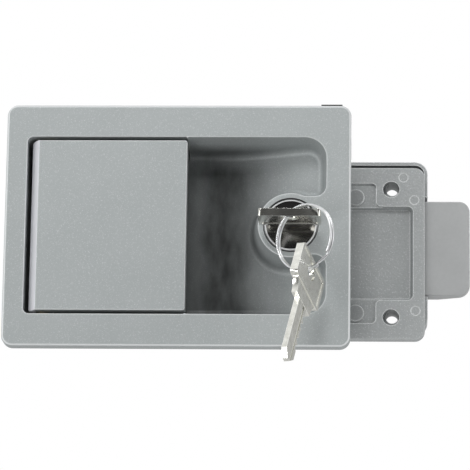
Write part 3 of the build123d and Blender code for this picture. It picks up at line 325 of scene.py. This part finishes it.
# %% [markdown]
# ## Painted highlights on rims and the hinge bevel
# Rounded rims catch a thin bright highlight, which is painted here as a paler colour.  The
# edge_painted_highlight tool above finds sharp edges only, since a rounded rim has no corner to find.
# These rims all roll over from a front face at one known Y, so a narrow band just behind that face
# catches them.  The bevel along the paddle's hinge edge is found in the same way, by its X, and is
# given painted light.

# %% Rules for rims and bevel
RIM_STARTS = (0.00002, 0.00010)
RIM_ENDS = (0.00045, 0.00060)
RIM_SHARE = 0.85
BEVEL_WIDTH = 0.0030
BEVEL_BLUR = 0.0002
BEVEL_PAINTED_LIGHT = (0.88, 0.88, 0.92)


def rim_painted_highlight(tree, where, base, colour, front):
    """Base colour that turns towards a paler one, a painted highlight, on edges rounded over from the
    front face.

    front is that face's Y.  A rounding starts just behind it, so the share of the other colour is
    greatest from 0.1 to 0.45 mm behind the face and nothing on it.
    """
    depth = place_axes(tree, where)[1]
    starts = spread(tree, depth, 0.0, RIM_SHARE, front + RIM_STARTS[0], front + RIM_STARTS[1])
    ends = spread(tree, depth, 1.0, 0.0, front + RIM_ENDS[0], front + RIM_ENDS[1])
    # Painted highlight: a paler band on rims rounded over from the front face.
    return cover(tree, base, colour, product(tree, starts, ends))


def pan_places(tree, where, base, shader):
    """The pan's own rules: painted shade in the pocket and a ring of painted shade round the lock."""
    return lock_gap_painted_shade(tree, where, pocket_painted_shade(tree, where, base, shader))


def paddle_places(tree, where, base, shader):
    """The paddle's own rule: painted light, pale and faintly lilac, on the bevel along its hinge edge.
    """
    across = place_axes(tree, where)[0]
    bevel_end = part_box("paddle")[0].x + BEVEL_WIDTH
    on_bevel = spread(tree, across, 1.0, 0.0, bevel_end - BEVEL_BLUR, bevel_end + BEVEL_BLUR)
    # Painted light: the bevel along the hinge edge turns pale and faintly lilac.
    return cover(tree, base, BEVEL_PAINTED_LIGHT, on_bevel)


print("hinge bevel", BEVEL_WIDTH, "m wide")

# %% [markdown]
# ## Silver paint
# The pan and paddle are zinc castings under a silver-grey coat.  Three things make it read as paint and
# not as plain grey: single flakes that catch light, a soft cloudiness over centimetres, and the
# orange-peel bump of the coat.  The flakes are Voronoi cells a quarter of a millimetre wide, and only
# the brightest few are let through, faintly.  The case behind the panel has the same paint with larger
# flakes and a rougher coat, and its rivets carry a thinner, darker layer of it.

# %% Silver paint for the castings
CLOUD_SCALE, FINE_SCALE, PEEL_SCALE = 45, 1400, 1100
PEEL_DEPTH = 0.00010
FLAKE_LIMITS = (0.0, 0.6, 0.88, 0.98)
PAINT_EDGE_HIGHLIGHT = 0.00065


def paint_finish(
    name, dark, light, flake, edge, roughness, peel, flakes, metallic=0.25, front=None, places=None
):
    """Cloudy base colour between dark and light, with sparse flakes and painted highlights on edges,
    over a bumpy coat.

    flakes is the number of flake cells per metre, front is the Y of the face whose roundings get a
    painted highlight, and places repaints the coat by place: painted shade on the pan, painted light on
    the paddle.
    """
    finish, tree, shader, where = start_finish(name)
    clouds = spread(tree, grain(tree, where, CLOUD_SCALE, 4.0), 0.0, 0.5, 0.35, 0.65)
    fine = grain(tree, where, FINE_SCALE, 2.0)
    base = tint(tree, add(tree, clouds, spread(tree, fine, 0.0, 0.5, 0.3, 0.7)), dark, light)
    sparkle = spread(tree, cells(tree, where, flakes), *FLAKE_LIMITS)
    # Painted highlight: paler colour along sharp edges.
    coat = edge_painted_highlight(tree, cover(tree, base, flake, sparkle), edge, PAINT_EDGE_HIGHLIGHT)
    # Painted highlight: a paler band on rims rounded over from the front face.
    if front is not None:
        coat = rim_painted_highlight(tree, where, coat, edge, front)
    # Painted shade and painted light by place.
    if places:
        coat = places(tree, where, coat, shader)
    tree.links.new(coat, shader.inputs["Base Color"])
    shader.inputs["Metallic"].default_value = metallic
    tree.links.new(spread(tree, fine, roughness - 0.05, roughness + 0.05), shader.inputs["Roughness"])
    dent(tree, shader, grain(tree, where, PEEL_SCALE, 3.0), peel, PEEL_DEPTH)
    return finish


# edge is the colour of the painted highlight on edges and rims.
silver = {
    "dark": (0.375, 0.402, 0.404),
    "light": (0.405, 0.432, 0.434),
    "flake": (0.63, 0.65, 0.655),
    "edge": (0.74, 0.76, 0.765),
    "roughness": 0.46,
    "peel": 0.28,
    "flakes": 4200,
}
# The edge colour of the case and rivets is a painted highlight too.
case_coat = {"edge": (0.92, 0.94, 0.94), "roughness": 0.50, "peel": 1.2, "flakes": 3200}

pan_paint = paint_finish("pan_paint", **silver, front=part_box("pan")[0].y, places=pan_places)
paddle_paint = paint_finish(
    "paddle_paint", **silver, front=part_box("paddle")[0].y, places=paddle_places
)
case_paint = paint_finish(
    "case_paint",
    dark=(0.38, 0.398, 0.400),
    light=(0.43, 0.448, 0.450),
    flake=(0.68, 0.70, 0.705),
    **case_coat,
)
rivet_paint = paint_finish(
    "rivet_paint",
    dark=(0.31, 0.325, 0.327),
    light=(0.35, 0.365, 0.368),
    flake=(0.45, 0.46, 0.465),
    **case_coat,
)
for paint, pieces in (
    (pan_paint, ("pan",)),
    (paddle_paint, ("paddle",)),
    (case_paint, ("case_front", "case_cover")),
    (rivet_paint, ("case_rivets",)),
):
    for node in pieces:
        nodes[node].material_slots[0].material = paint
    print(paint.name, "on", ", ".join(pieces))

# %% [markdown]
# ## Plated and turned metal
# The bolt is smooth plated zinc, the arm, lever, nut and cam are stamped steel with a satin zinc
# plating, and pins and screws are turned.  One function covers them all: a metal colour that wanders
# with a fine grain, and a roughness that wanders with the broader patches that handling leaves.  A
# plain metal would need only a colour and a roughness, but it would look like plastic up close.

# %% Satin metals
HANDLED_SCALE = 90
METAL_DENT = 0.00006
METAL_EDGE_HIGHLIGHT = 0.00035


def metal_finish(name, dark, light, roughness, grain_scale, bump, metallic=1.0, edge=None):
    """Metal whose colour and roughness wander with a fine grain and with handling; with an edge colour,
    sharp edges get a painted highlight.
    """
    finish, tree, shader, where = start_finish(name)
    worked = grain(tree, where, grain_scale, 4.0)
    handled = grain(tree, where, HANDLED_SCALE, 3.0)
    fine_tone = spread(tree, worked, 0.0, 0.6, 0.3, 0.7)
    broad_tone = spread(tree, handled, 0.0, 0.4, 0.35, 0.65)
    colour = tint(tree, add(tree, fine_tone, broad_tone), dark, light)
    # Painted highlight: with an edge colour, the colour turns paler near sharp edges.
    if edge:
        colour = edge_painted_highlight(tree, colour, edge, METAL_EDGE_HIGHLIGHT)
    tree.links.new(colour, shader.inputs["Base Color"])
    shader.inputs["Metallic"].default_value = metallic
    tree.links.new(spread(tree, handled, roughness * 0.8, roughness * 1.25), shader.inputs["Roughness"])
    dent(tree, shader, worked, bump, METAL_DENT)
    return finish


bolt_metal = metal_finish(
    "bolt_nickel", (0.43, 0.44, 0.442), (0.46, 0.47, 0.472), 0.46, 700, 0.08, metallic=0.30
)
plated = metal_finish("zinc_plate", (0.52, 0.54, 0.56), (0.66, 0.67, 0.68), 0.34, 500, 0.12)
turned = metal_finish("plain_steel", (0.50, 0.51, 0.52), (0.62, 0.63, 0.64), 0.28, 800, 0.10)
wire_steel = metal_finish("spring_steel", (0.36, 0.36, 0.38), (0.48, 0.48, 0.50), 0.30, 700, 0.06)
brass = metal_finish("bronze", (0.55, 0.42, 0.20), (0.68, 0.54, 0.28), 0.30, 600, 0.08)
# The keys' edge colour is a painted highlight along their edges.
key_nickel = metal_finish(
    "key_nickel", (0.64, 0.64, 0.59), (0.86, 0.86, 0.81), 0.18, 420, 0.14, edge=(0.99, 0.99, 0.96)
)
chrome = metal_finish("bright_chrome", (0.68, 0.69, 0.70), (0.78, 0.79, 0.80), 0.27, 300, 0.0)
# The rim is half diffuse and near white: its own bright chrome, with a painted highlight for the bright
# line it reflects.
rim_chrome_painted_highlight = metal_finish(
    "rim_chrome_painted_highlight", (0.90, 0.91, 0.92), (0.96, 0.97, 0.98), 0.24, 300, 0.02, metallic=0.45
)
# The plug's dark colour is a painted dark reflection, for the dark room its mirror face reflects.
plug_chrome = metal_finish("dark_chrome", (0.36, 0.35, 0.34), (0.46, 0.45, 0.44), 0.12, 300, 0.01)

for metal, pieces in (
    (bolt_metal, ("bolt",)),
    (plated, ("barrel_nut", "paddle_arm", "reversing_lever", "stop_washer", "lock_cam")),
    (turned, ("hinge_pin", "case_screws", "lever_pin", "lever_spacer")),
    (turned, ("spring_guide", "arm_screws", "drive_pin", "cam_screw")),
    (wire_steel, ("paddle_spring", "bolt_spring")),
    (brass, ("hinge_washers", "wafers")),
    (key_nickel, ("inserted_key", "spare_key")),
    (chrome, ("split_ring",)),
    (rim_chrome_painted_highlight, ("lock_barrel",)),
    (plug_chrome, ("lock_plug",)),
):
    for node in pieces:
        nodes[node].material_slots[0].material = metal
    print(metal.name, "on", ", ".join(pieces))

# %% [markdown]
# ## Gasket rubber
# Foam rubber is matt and slightly open-pored.  Small dark pores and a high roughness are enough, since
# only its edge and pull tab ever show.


# %% Black gasket
def foam_rubber(name):
    """Black rubber whose pores are cells of random tone, about two thirds of a millimetre wide."""
    finish, tree, shader, where = start_finish(name)
    pores = cells(tree, where, 1500)
    tone = tint(tree, pores, (0.012, 0.012, 0.012), (0.035, 0.035, 0.036))
    tree.links.new(tone, shader.inputs["Base Color"])
    shader.inputs["Roughness"].default_value = 0.85
    dent(tree, shader, pores, 0.4, 0.0002)
    return finish


gasket_rubber = foam_rubber("gasket_rubber")
nodes["gasket"].material_slots[0].material = gasket_rubber
print("rubber:", gasket_rubber.name)

# %% [markdown]
# ## Soft edges on keys and small plates
# Stamped and tumbled metal never has razor edges, and it is the rounded edge that draws the thin bright
# line in a picture.  The solids arrive as loose triangles, so each is welded, its flat faces are joined
# up again, and only then is a narrow bevel rolled over the sharp edges.

# %% Bevel the pieces whose edges should catch light
WELD_WITHIN = 1e-6
FLAT_WITHIN = math.radians(0.8)
SHARP_FROM = math.radians(32.0)


def soften(node, width):
    """Weld, rejoin flat faces, then round every sharp edge by the width in metres."""
    piece = nodes[node]
    weld = piece.modifiers.new("weld", "WELD")
    weld.merge_threshold = WELD_WITHIN
    flat = piece.modifiers.new("flat", "DECIMATE")
    flat.decimate_type = "DISSOLVE"
    flat.angle_limit = FLAT_WITHIN
    bevel = piece.modifiers.new("bevel", "BEVEL")
    bevel.width = width
    bevel.segments = 3
    bevel.limit_method = "ANGLE"
    bevel.angle_limit = SHARP_FROM
    bevel.harden_normals = True


edge_widths = {
    "inserted_key": 0.00022,
    "spare_key": 0.00022,
    "bolt": 0.0003,
    "lock_cam": 0.0002,
    "reversing_lever": 0.0002,
    "barrel_nut": 0.0002,
}
for node, width in edge_widths.items():
    soften(node, width)
print("softened edges:", edge_widths)

# %% [markdown]
# ## Wire as a swept section
# Ring and spring are both one wire along a path.  A curve object with a bevel would do, but it has to
# be turned into a mesh afterwards and gives only a round section.  Here the section is a grid of points:
# one row for each place on the path, one column for each corner of the section.


# %% A wire and its object from numpy
def swept_wire(path, across, upward, half_width, half_height, corners=24, power=2.4):
    """Tube along the path.

    The section is a rounded square: each corner angle a gives the point
    (sign(cos a) |cos a|^(2/power) half_width, sign(sin a) |sin a|^(2/power) half_height),
    laid along the across and upward directions of that path point.  Across, upward and the way of the
    path make a left-handed set, so that faces point outwards.  Both ends are closed.
    """
    turn = np.linspace(0.0, 2.0 * math.pi, corners, endpoint=False)
    wide = np.sign(np.cos(turn)) * np.abs(np.cos(turn)) ** (2.0 / power) * half_width
    tall = np.sign(np.sin(turn)) * np.abs(np.sin(turn)) ** (2.0 / power) * half_height
    points = (
        path[:, None, :]
        + across[:, None, :] * wide[None, :, None]
        + upward[:, None, :] * tall[None, :, None]
    )
    first = np.arange(len(path) - 1)[:, None] * corners
    here = np.arange(corners)[None, :]
    after = (here + 1) % corners
    sides = np.stack(
        (first + here, first + corners + here, first + corners + after, first + after), axis=2
    )
    last = (len(path) - 1) * corners
    faces = sides.reshape(-1, 4).tolist()
    faces += [list(range(corners)), list(range(last + corners - 1, last - 1, -1))]
    return points.reshape(-1, 3), faces


def wire_object(name, points, faces, metal):
    """Smooth-shaded object at the origin from the points and faces of a wire."""
    mesh = bpy.data.meshes.new(name)
    mesh.from_pydata(points.tolist(), [], faces)
    mesh.update()
    mesh.shade_smooth()
    mesh.materials.append(metal)
    piece = bpy.data.objects.new(name, mesh)
    bpy.context.scene.collection.objects.link(piece)
    return piece


def joint(name):
    """The joint of that name in the latch's record."""
    return next(j for j in frame["record"]["behaviour"]["joints"] if j["name"] == name)


print("wire tools ready")

# %% [markdown]
# ## The split ring
# The ring is one flat wire wound almost twice.  Its path is a circle whose height above the ring's
# plane goes from one coil to the other along a smooth step where the coils cross.  The joint on which
# the ring swings lies in its plane and gives the direction of that plane.

# %% Key ring from numpy
WIRE = 0.00130
WIRE_HALF_WIDTH, WIRE_HALF_HEIGHT = 0.00048, 0.00056
COIL_APART = 0.00137
FIRST_END, CROSSING = -33.0, 30.0
RING_STEPS = 460
UP = np.array((0.0, 0.0, 1.0))

ring_low, ring_high = (np.array(corner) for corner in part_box("split_ring"))
ring_centre = (ring_low + ring_high) / 2
ring_mean = (ring_high[2] - ring_low[2]) / 2 - WIRE / 2
swing_axis = np.array(joint("ring_swing")["axis"])
ring_along = swing_axis / np.linalg.norm(swing_axis)
ring_axis = np.cross(ring_along, UP)

degrees = np.linspace(FIRST_END, FIRST_END + 720.0 - CROSSING, RING_STEPS + 1)
angles = np.radians(degrees)
step = np.clip((degrees - (FIRST_END + 360.0 - CROSSING)) / CROSSING, 0.0, 1.0)
lift = (0.5 - step ** 2 * (3.0 - 2.0 * step)) * COIL_APART
outward = np.cos(angles)[:, None] * ring_along + np.sin(angles)[:, None] * UP
ring_path = ring_centre + outward * ring_mean + lift[:, None] * ring_axis
wire_up = np.repeat(ring_axis[None, :], len(angles), axis=0)
ring_points, ring_faces = swept_wire(
    ring_path, outward, wire_up, WIRE_HALF_WIDTH, WIRE_HALF_HEIGHT
)
ring_wire = wire_object("ring_wire", ring_points, ring_faces, chrome)
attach(ring_wire, "ring_unit")
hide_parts("split_ring")
print("ring wire:", len(ring_points), "points, mean radius", round(ring_mean, 5))

# %% [markdown]
# ## The two springs
# A spring is the one metal piece that changes shape when the latch moves.  The bolt spring sits between
# a lug of the case and the end of a slot in the bolt's tail, and gets shorter as the bolt comes in.  It
# is wound again as an even helix.  The paddle spring is a torsion coil: its lower leg stays with the
# pan, its upper leg goes with the arm, and the turns between them share the angle.  It is kept as a
# welded, smooth-shaded copy of the solid.

# %% Bolt spring as a helix
COIL_TURNS = 9
COIL_WIRE_R = 0.0004
coil_low, coil_high = (np.array(corner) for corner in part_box("bolt_spring"))
coil_middle = (coil_low + coil_high) / 2
coil_radius = (coil_high[2] - coil_low[2]) / 2 - COIL_WIRE_R


def helix(start_x, end_x, radius, turns, steps_per_turn=24):
    """Points round the X axis, with the outward direction and a third one across the wire.

    At angle a a point lies at radius * (cos a, sin a) in Y and Z, and its X grows evenly with a.
    """
    angle = np.linspace(0.0, 2.0 * np.pi * turns, turns * steps_per_turn + 1)
    outward = np.stack((np.zeros_like(angle), np.cos(angle), np.sin(angle)), axis=1)
    path = outward * radius
    path[:, 0] = np.linspace(start_x, end_x, len(angle))
    rise = np.full_like(angle, (end_x - start_x) / (2.0 * np.pi * turns))
    along = np.stack((rise, -radius * np.sin(angle), radius * np.cos(angle)), axis=1)
    along /= np.linalg.norm(along, axis=1)[:, None]
    return path, outward, np.cross(outward, along)


coil_path, coil_out, coil_across = helix(
    coil_low[0] + COIL_WIRE_R, coil_high[0] - COIL_WIRE_R, coil_radius, COIL_TURNS
)
coil_path[:, 1:] += coil_middle[1:]
coil_points, coil_faces = swept_wire(
    coil_path, coil_out, coil_across, COIL_WIRE_R, COIL_WIRE_R, corners=12, power=2.0
)
bolt_coil = wire_object("bolt_coil", coil_points, coil_faces, wire_steel)
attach(bolt_coil, "frame")
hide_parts("bolt_spring")
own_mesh(bolt_coil)

# %% Paddle spring as a welded copy
wound_mesh = nodes["paddle_spring"].data.copy()
weld = bmesh.new()
weld.from_mesh(wound_mesh)
bmesh.ops.remove_doubles(weld, verts=weld.verts, dist=WELD_WITHIN)
weld.to_mesh(wound_mesh)
weld.free()
wound_mesh.shade_smooth()
wound_spring = bpy.data.objects.new("wound_spring", wound_mesh)
bpy.context.scene.collection.objects.link(wound_spring)
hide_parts("paddle_spring")
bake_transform(wound_spring)
print("paddle spring:", len(wound_mesh.vertices), "points")

# %% [markdown]
# ## A floor under the latch
# The latch is shown on plain white with soft light, as in a catalogue.  A pale floor lies well below it.
# It is plain white to the camera and weaker to a mirror; for every other ray it is ordinary pale paper,
# so it lights the part no more than paper would.

# %% Floor
FLOOR_DROP = 0.30
FLOOR_SIDE, FLOOR_NEAR, FLOOR_FAR = 3.0, -0.6, 1.2
WHITE = (1.0, 1.0, 1.0, 1.0)


def stage_paper(name, colour, mirror_share):
    """Pale matt surface that the camera sees as plain white and a mirror sees partly so."""
    finish = bpy.data.materials.new(name)
    finish.use_nodes = True
    tree = finish.node_tree
    matt = tree.nodes["Principled BSDF"]
    matt.inputs["Base Color"].default_value = (*colour, 1.0)
    matt.inputs["Roughness"].default_value = 0.9
    glow = tree.nodes.new("ShaderNodeEmission")
    glow.inputs["Color"].default_value = WHITE
    glow.inputs["Strength"].default_value = 1.0
    path = tree.nodes.new("ShaderNodeLightPath")
    mirrored = spread(tree, path.outputs["Is Glossy Ray"], 0.0, mirror_share)
    white_share = add(tree, path.outputs["Is Camera Ray"], mirrored)
    blend = tree.nodes.new("ShaderNodeMixShader")
    tree.links.new(white_share, blend.inputs["Fac"])
    tree.links.new(matt.outputs["BSDF"], blend.inputs[1])
    tree.links.new(glow.outputs["Emission"], blend.inputs[2])
    tree.links.new(blend.outputs["Shader"], tree.nodes["Material Output"].inputs["Surface"])
    return finish


floor_z = cad_box[0].z - FLOOR_DROP
floor_mesh = bpy.data.meshes.new("floor")
floor_mesh.from_pydata(
    [
        (-FLOOR_SIDE, FLOOR_NEAR, floor_z),
        (FLOOR_SIDE, FLOOR_NEAR, floor_z),
        (FLOOR_SIDE, FLOOR_FAR, floor_z),
        (-FLOOR_SIDE, FLOOR_FAR, floor_z),
    ],
    [],
    [(0, 1, 2, 3)],
)
floor = bpy.data.objects.new("floor", floor_mesh)
bpy.context.scene.collection.objects.link(floor)
floor_mesh.materials.append(stage_paper("floor_paper", (0.80, 0.80, 0.80), 0.12))
print("floor at", round(floor_z, 3))

# %% [markdown]
# ## A room for the mirrors
# Chrome has no colour of its own: it shows the room.  A white room would make it white and flat, so the
# world is built by direction.  To a mirror it is bright overhead, to the left and behind the latch, dim
# behind the camera, and the blend between them is soft.  Matt surfaces take only a weak, even share of
# it, which keeps the shadows in the pull pocket deep.  The camera itself sees plain white.

# %% World seen by direction
OVERHEAD = (0.0, 0.70, 0.36, 0.85)     # along Z of the direction looked in
BEHIND = (0.0, 0.50, -0.60, 0.30)      # along Y
LEFT = (0.45, 0.0, -1.0, -0.25)        # along X
DIM_ROOM = 0.03
EVEN_ROOM = 0.42

world = bpy.data.worlds.new("studio")
bpy.context.scene.world = world
world.use_nodes = True
sky = world.node_tree
rays = sky.nodes.new("ShaderNodeLightPath")


def room_light(light):
    """The light's shader, plain white; its strength is set or linked by the caller."""
    light.inputs["Color"].default_value = WHITE
    return light.outputs["Background"]


def choose(ray, otherwise, chosen):
    """One shader for the named kind of ray and the other shader for all the rest."""
    switch = sky.nodes.new("ShaderNodeMixShader")
    sky.links.new(rays.outputs[ray], switch.inputs["Fac"])
    sky.links.new(otherwise, switch.inputs[1])
    sky.links.new(chosen, switch.inputs[2])
    return switch.outputs["Shader"]


toward = sky.nodes.new("ShaderNodeTexCoord").outputs["Generated"]
to_x, to_y, to_z = place_axes(sky, toward)
overhead_behind = add(sky, spread(sky, to_z, *OVERHEAD), spread(sky, to_y, *BEHIND))
room = add(sky, overhead_behind, spread(sky, to_x, *LEFT))
even_room = sky.nodes["Background"]
even_room.inputs["Strength"].default_value = EVEN_ROOM
mirror_room = sky.nodes.new("ShaderNodeBackground")
sky.links.new(spread(sky, room, DIM_ROOM, 1.0), mirror_room.inputs["Strength"])
white_room = sky.nodes.new("ShaderNodeBackground")
white_room.inputs["Strength"].default_value = 1.0
lit_room = choose("Is Glossy Ray", room_light(even_room), room_light(mirror_room))
seen_room = choose("Is Camera Ray", lit_room, room_light(white_room))
sky.links.new(seen_room, sky.nodes["World Output"].inputs["Surface"])
print("world by direction ready, even share", EVEN_ROOM)

# %% [markdown]
# ## Soft lamps
# Five square soft boxes stand more than a metre away, so that their light falls evenly over the latch.
# The key lamp is high in front.  A low one and a left one open the shadows, one at the right draws the
# bolt's side, and one behind edges the case.

# %% Lamps
LATCH = (0.02, 0.0, 0.0)


def soft_lamp(name, place, aim, side, power):
    """Square soft box at place, turned towards aim, in metres and watts."""
    light = bpy.data.lights.new(name, "AREA")
    light.shape = "RECTANGLE"
    light.size = light.size_y = side
    light.energy = power
    lamp = bpy.data.objects.new(name, light)
    lamp.location = place
    lamp.rotation_euler = (Vector(aim) - Vector(place)).to_track_quat("-Z", "Y").to_euler()
    bpy.context.scene.collection.objects.link(lamp)
    print(name, "at", place)


soft_lamp("key_lamp", (-0.08, -1.40, 1.10), LATCH, 0.60, 9.6)
soft_lamp("low_lamp", (-0.75, -1.25, -0.50), LATCH, 0.50, 4.6)
soft_lamp("left_lamp", (-1.30, -0.95, 0.25), (-0.04, 0.0, 0.0), 0.50, 4.2)
soft_lamp("side_lamp", (1.40, -0.50, 0.10), (0.08, 0.0, 0.0), 0.90, 5.6)
soft_lamp("back_lamp", (0.60, 1.50, 0.80), (0.02, 0.03, 0.0), 0.80, 8.0)

# %% [markdown]
# ## Camera
# A long lens stands well below the latch and slightly to its right.  The position comes from a target
# point, a distance and two angles, and a roll of less than a degree finishes it.

# %% Camera
AZIMUTH, ELEVATION, ROLL = math.radians(2.76), math.radians(-13.25), math.radians(0.81)
DISTANCE = 1.2408
TARGET = Vector((0.02309, 0.0, -0.00257))
LENS_MM, SENSOR_MM = 234.75, 36.0

forward = Vector((
    -math.sin(AZIMUTH) * math.cos(ELEVATION),
    math.cos(AZIMUTH) * math.cos(ELEVATION),
    -math.sin(ELEVATION),
))
right = Vector((math.cos(AZIMUTH), math.sin(AZIMUTH), 0.0))
up = right.cross(forward)
lens = bpy.data.cameras.new("camera")
lens.lens = LENS_MM
lens.sensor_width = SENSOR_MM
lens.clip_end = 20.0
camera = bpy.data.objects.new("camera", lens)
turn = Matrix((right, up, -forward)).transposed().to_4x4()
stand = Matrix.Translation(TARGET - forward * DISTANCE)
camera.matrix_world = stand @ turn @ Matrix.Rotation(ROLL, 4, "Z")
bpy.context.scene.collection.objects.link(camera)
bpy.context.scene.camera = camera
bpy.context.scene.view_settings.view_transform = "Standard"
print("camera at", [round(v, 3) for v in camera.matrix_world.translation])
